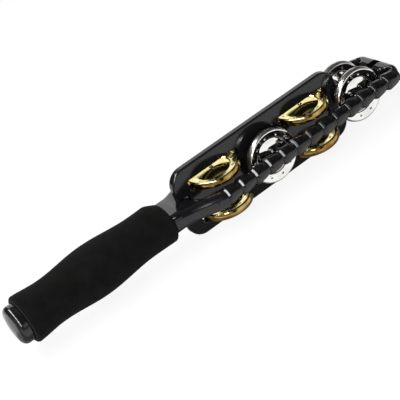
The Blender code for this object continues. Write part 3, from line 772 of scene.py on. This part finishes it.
def build_plate(plastic):
    """The upright plate: four slots, a notch over the neck, a tongue in the bow and holes for the pins."""
    notch = FRAME_HALF_HEIGHT + SEAT_GAP
    top = PLATE_HALF_HEIGHT - PLATE_CORNER
    half = [[CROTCH + SEAT_GAP, notch], [PLATE_START, notch]]
    half += list(arc((PLATE_START + PLATE_CORNER, top), PLATE_CORNER, TAU / 2, TAU / 4, 18))
    half += list(arc((PLATE_END - PLATE_CORNER, top), PLATE_CORNER, TAU / 4, 0, 18))
    half += [[PLATE_END, TONGUE_HALF_HEIGHT], [TONGUE_END, TONGUE_HALF_HEIGHT]]
    reach = SLOT_HALF_LENGTH
    slots = [rounded_box(station - reach, station + reach, floor, floor + SLOT_HEIGHT, SLOT_CORNER)
             for station in (STATIONS[0], STATIONS[2]) for floor in SLOT_FLOORS]
    edges = [round_edge(PLATE_HALF, PLATE_ROUNDING, steps=8)]
    edges += [round_edge(PLATE_HALF, SLOT_ROUNDING)] * len(slots)
    points, faces = slab_shape([ring_of(half), *slots], edges)
    mesh = finish_mesh("jingle_board", points[:, [0, 2, 1]], faces)
    rods = [((station, 0, 0), (0, 1, 0), 2 * PLATE_HALF) for station in (STATIONS[1], STATIONS[3])]
    for pin, station in ((PINS[0], STATIONS[0]), (PINS[2], STATIONS[2])):
        low, high = corners(pin)
        reach = (high[2] - low[2]) / 2 + 2 * MM
        rods.append(((station, 0, high[2] + SEAT_GAP - reach), (0, 0, 1), reach))
    show("jingle_board", bored(mesh, rods), plastic, "jingle_plate")


# Jingles and pins

def jingle_profile():
    """A stamping's section as (r, h), from the hole to the mouth.

    The middle is a shallow dome that falls as r^2 to a trough. A smooth step lifts it to the ring, which
    rises straight to a rounded rim. The wall leans outwards on its way down to the mouth.
    """
    middle = np.linspace(3 * MM, TROUGH_RADIUS, 16)
    middle = np.concatenate([HOLE_RADIUS + np.array([0, HOLE_EDGE, 0.4 * MM]), middle])
    fall = JINGLE_HEIGHT - TROUGH_HEIGHT
    middle_height = JINGLE_HEIGHT - fall * (middle / TROUGH_RADIUS) ** 2
    middle_height[0] -= HOLE_EDGE
    ring_start = TROUGH_RADIUS + TROUGH_WALL
    step = np.linspace(TROUGH_RADIUS, ring_start, 9)[1:-1]
    lift = RING_START_HEIGHT - TROUGH_HEIGHT
    step_height = TROUGH_HEIGHT + lift * smooth(TROUGH_RADIUS, ring_start, step)
    centre = JINGLE_RADIUS - WALL_LEAN - RIM_ROUNDING, JINGLE_HEIGHT - RIM_ROUNDING
    slope = math.atan2(JINGLE_HEIGHT - 0.15 * MM - RING_START_HEIGHT, centre[0] - ring_start)
    rim = arc(centre, RIM_ROUNDING, TAU / 4 + slope, math.atan2(WALL_LEAN, centre[1]), 12)
    share = np.linspace(0, 1, 26)[:-1]
    ring = ring_start + share * (rim[0, 0] - ring_start)
    ring_height = RING_START_HEIGHT + share * (rim[0, 1] - RING_START_HEIGHT)
    share = np.array([0.1, 0.5, 0.92, 1])
    wall = rim[-1, 0] + share * (JINGLE_RADIUS - rim[-1, 0])
    radius = np.concatenate([middle, step, ring, rim[:, 0], wall])
    height = np.concatenate([middle_height, step_height, ring_height, rim[:, 1], rim[-1, 1] * (1 - share)])
    radius[-1] -= 0.06 * MM
    return radius, height


def jingle_points():
    """The section turned about Z, with round pips pressed into the ring, and its inside a sheet below.

    Each pip sinks the face by PIP_DEPTH exp(-(d / PIP_RADIUS)^4), d being the distance to its centre. The
    points come in rows of JINGLE_SIDES.
    """
    radius, height = jingle_profile()
    top = JINGLE_RADIUS - WALL_LEAN - SHEET
    inner_radius = np.concatenate([[JINGLE_RADIUS - SHEET], np.linspace(top, HOLE_RADIUS, 24)])
    inner_height = np.maximum(np.interp(inner_radius, radius, height) - SHEET, 0)
    inner_height[0] = 0
    profile_radius = np.concatenate([radius, inner_radius])[:, None]
    profile_height = np.concatenate([height, inner_height])[:, None]
    turn = np.arange(JINGLE_SIDES) * TAU / JINGLE_SIDES
    step = TAU / PIP_COUNT
    nearest = (turn + step / 2) % step - step / 2
    distance = np.hypot(profile_radius * np.cos(nearest) - PIP_CIRCLE, profile_radius * np.sin(nearest))
    pressed = profile_height - PIP_DEPTH * np.exp(-((distance / PIP_RADIUS) ** 4))
    points = np.stack([profile_radius * np.cos(turn), profile_radius * np.sin(turn), pressed], axis=-1)
    return points.reshape(-1, 3)


def build_jingle(node, metal, spin, points):
    """A jingle in its CAD node's place. It faces the way that leaves its mouth at the pair's middle."""
    low, high = corners(node)
    across = int(np.argmin(high - low))
    forwards = node.endswith(("over", "rear_pair_outer", "front_pair_inner"))
    turn = Matrix.Rotation(spin, 3, "Z")
    if across == 1:
        turn = Matrix.Rotation(-TAU / 4 if forwards else TAU / 4, 3, "X") @ turn
    elif not forwards:
        turn = Matrix.Rotation(TAU / 2, 3, "X") @ turn
    mouth = (low + high) / 2
    mouth[across] += JINGLE_HEIGHT / 2 * (-1 if forwards else 1)
    placed = points @ np.array(turn).T + mouth
    faces = grid_faces(len(points) // JINGLE_SIDES, JINGLE_SIDES, True).tolist()
    mesh = finish_mesh(node + "_stamping", placed, faces, sharp=50)
    show(node + "_stamping", mesh, metal, node, node)


def build_jingles(brass, steel):
    """Every jingle of the frame, each spun a little further than the one before."""
    points = jingle_points()
    for number, node in enumerate(body for body in frame["bodies"] if body != "stick"):
        metal, slot = (brass, "brass") if node.startswith("brass") else (steel, "nickel_steel")
        build_jingle(node, metal, SPIN_STEP * number, points)


def build_pins(steel):
    """Plain rods with rounded ends, along Z in the plate and along Y between the rails."""
    for node in PINS:
        low, high = corners(node)
        size = high - low
        radius = min(size) / 2
        half = max(size) / 2
        turn = np.linspace(0, TAU / 4, 6)
        end = [(half - PIN_EDGE * (1 - math.sin(a)), radius - PIN_EDGE * (1 - math.cos(a))) for a in turn]
        end.append((half, 0.0))
        rows = [(-along, across) for along, across in reversed(end)] + end
        mesh = turned_mesh(node + "_rod", rows, 32)
        axis = (0, 0, 1) if node.startswith("brass") else (0, 1, 0)
        mesh.transform(laid_along(axis, (low + high) / 2))
        show(node + "_rod", mesh, steel, node)


# Surroundings

def build_camera():
    """The photograph's viewpoint: a long lens, above and to the left of the stick, rolled a little."""
    turn = Matrix((CAMERA_RIGHT, CAMERA_UP, CAMERA_RIGHT.cross(CAMERA_UP))).transposed().to_4x4()
    camera = bpy.data.objects.new("camera", bpy.data.cameras.new("camera"))
    camera.data.sensor_width = 36
    camera.data.lens = CAMERA_LENS
    camera.data.clip_start = 0.05
    camera.matrix_world = Matrix.Translation(CAMERA_PLACE) @ turn
    bpy.context.scene.collection.objects.link(camera)
    bpy.context.scene.camera = camera


def softbox(name, direction, along):
    """A soft light that faces LIGHT_AIM from a direction, its second side turned along another one."""
    light = bpy.data.lights.new(name, "AREA")
    light.shape = "RECTANGLE"
    light.size, light.size_y = LIGHT_SIZE
    light.energy = LIGHT_POWER
    lamp = bpy.data.objects.new(name, light)
    across = along.cross(direction).normalized()
    turn = Matrix((across, direction.cross(across), direction)).transposed().to_4x4()
    lamp.matrix_world = Matrix.Translation(LIGHT_AIM + LIGHT_DISTANCE * direction) @ turn
    bpy.context.scene.collection.objects.link(lamp)


def mirrored(degrees):
    """Where the camera's view goes from a rib's shoulder, at a turn from the top to the front.

    The shoulder's normal n leans back by SHOULDER_LEAN. With the view v, the direction is v - 2 (v.n) n.
    """
    turn = math.radians(degrees)
    normal = Vector((-SHOULDER_LEAN, -math.sin(turn), math.cos(turn))).normalized()
    return CAMERA_VIEW - 2 * CAMERA_VIEW.dot(normal) * normal


def build_lights():
    """A row of soft lights on the left, each where a rib's shoulder mirrors it to the camera."""
    for number, degrees in enumerate(LIGHT_TURNS):
        along = mirrored(degrees + 1) - mirrored(degrees - 1)
        softbox(f"left light {number + 1}", mirrored(degrees), along)


class World(Nodes):
    """A world that is white to the camera, and a dim room with bright panels to everything else."""

    def __init__(self):
        world = bpy.data.worlds.new("studio")
        bpy.context.scene.world = world
        world.use_nodes = True
        super().__init__(world.node_tree)
        self.tree.nodes.clear()
        direction = self.axes(self.add("ShaderNodeTexCoord").outputs["Generated"])
        self.azimuth = self.math("ARCTAN2", direction["X"], direction["Y"])
        self.elevation = self.math("ARCSINE", direction["Z"])
        self.light = ROOM_LIGHT

    def edge(self, angle, start, end):
        """0 at one angle and 1 at another, in degrees."""
        low, high = (1.0, 0.0) if start > end else (0.0, 1.0)
        limits = math.radians(min(start, end)), math.radians(max(start, end))
        result = self.span(angle, low, high, *limits)
        result.node.interpolation_type = "SMOOTHSTEP"
        return result

    def panel(self, azimuths, elevations, brightness):
        """A soft-edged panel between two azimuths, from +Y towards +X, and two elevations."""
        share = brightness
        for angle, (low, high) in ((self.azimuth, azimuths), (self.elevation, elevations)):
            rise = self.edge(angle, low - PANEL_SOFTNESS, low + PANEL_SOFTNESS)
            fall = self.edge(angle, high + PANEL_SOFTNESS, high - PANEL_SOFTNESS)
            share = self.math("MULTIPLY", fall, self.math("MULTIPLY", rise, share))
        self.light = self.math("ADD", self.light, share)

    def finish(self):
        """Joins the room's light and the camera's white."""
        room = self.add("ShaderNodeBackground")
        self.link(self.light, room.inputs["Strength"])
        white = self.add("ShaderNodeBackground").outputs["Background"]
        to_camera = self.add("ShaderNodeLightPath").outputs["Is Camera Ray"]
        surface = self.mixed(to_camera, room.outputs["Background"], white)
        self.link(surface, self.add("ShaderNodeOutputWorld").inputs["Surface"])


def build_world():
    """Bright panels low behind the object and in front of it, a grey ceiling and dim walls."""
    world = World()
    for azimuths, elevations, brightness in PANELS:
        world.panel(azimuths, elevations, brightness)
    world.finish()


def floor_finish():
    """Near white to camera and mirror rays, with the object's shadow.

    In a mirror it glows with painted light: bright close to the object's front and in front of its head, with
    a painted shadow in a band under it and painted shade farther out in front.
    """
    finish = Finish("floor", 0.9)
    finish.shader.inputs["Base Color"].default_value = (0.85, 0.85, 0.85, 1)
    ground = finish.axes(finish.place)
    # Painted light and painted shadow for mirror rays: the glow is bright close in front and ahead of the
    # head, dim farther out, and dimmed in a band under the object.
    painted_light_near = finish.span(ground["Y"], 0.08, 1.0, -0.14, -0.10)
    painted_light_ahead = finish.span(ground["X"], 0.08, 1.0, 0.08, 0.14)
    painted_shadow_band = finish.span(finish.math("ABSOLUTE", ground["Y"]), 0.15, 1.0, 0.024, 0.034)
    painted_mirror_light = finish.math("MULTIPLY", finish.math("MAXIMUM", painted_light_near, painted_light_ahead), painted_shadow_band)
    rays = finish.add("ShaderNodeLightPath").outputs
    tone = finish.add("ShaderNodeMix")
    finish.link(rays["Is Camera Ray"], tone.inputs["Factor"])
    finish.link(painted_mirror_light, tone.inputs["A"])
    tone.inputs["B"].default_value = 1.0
    glow = finish.add("ShaderNodeEmission")
    finish.link(tone.outputs["Result"], glow.inputs["Strength"])
    either = finish.math("MAXIMUM", rays["Is Camera Ray"], rays["Is Glossy Ray"])
    share = finish.math("MULTIPLY", either, 0.88)
    surface = finish.mixed(share, finish.shader.outputs["BSDF"], glow.outputs["Emission"])
    finish.link(surface, finish.tree.nodes["Material Output"].inputs["Surface"])
    return finish.material


def build_floor():
    """A plain pale floor just under the plate's edge."""
    level = CAD_BOX[0][2] - 0.1 * MM
    half = FLOOR_HALF
    mesh = bpy.data.meshes.new("floor")
    ends = [(-half, -half), (half, -half), (half, half), (-half, half)]
    mesh.from_pydata([(x, y, level) for x, y in ends], [], [(0, 1, 2, 3)])
    floor = bpy.data.objects.new("floor", mesh)
    bpy.context.scene.collection.objects.link(floor)
    mesh.materials.append(floor_finish())


def build_studio():
    """The camera, the room, the floor and the lights."""
    build_camera()
    build_world()
    build_floor()
    build_lights()
    bpy.context.scene.view_settings.view_transform = "Standard"


def build_object():
    """The stick's pieces, each in its own finish."""
    build_grip(foam_finish())
    build_cap(plastic_finish("cap plastic", (0.004, 0.004, 0.0045), 0.08, 0.05))
    build_loop(plastic_finish("frame plastic", (0.0035, 0.0035, 0.004), 0.10, 0.06))
    build_plate(plastic_finish("plate plastic", (0.004, 0.004, 0.0045), 0.10, 0.05, specular=0.45))
    # Painted shade: these wall colours darken the jingles' upright walls, warm brown on the brass and dark
    # grey on the steel.
    wall = (0.34, 0.15, 0.02)
    brass = metal_finish("brass", (0.68, 0.58, 0.22), (0.78, 0.69, 0.31), 0.05, 0.06, wall, dull=0.05)
    dark, light, wall = (0.86, 0.85, 0.82), (0.95, 0.94, 0.92), (0.16, 0.15, 0.13)
    steel = metal_finish("nickel-plated steel", dark, light, 0.04, 0.05, wall, axis="Y", dull=0.3)
    build_jingles(brass, steel)
    build_pins(metal_finish("pin steel", (0.42, 0.42, 0.43), (0.58, 0.58, 0.58), 0.22, 0.10))


build_object()
build_studio()
bpy.context.view_layer.update()
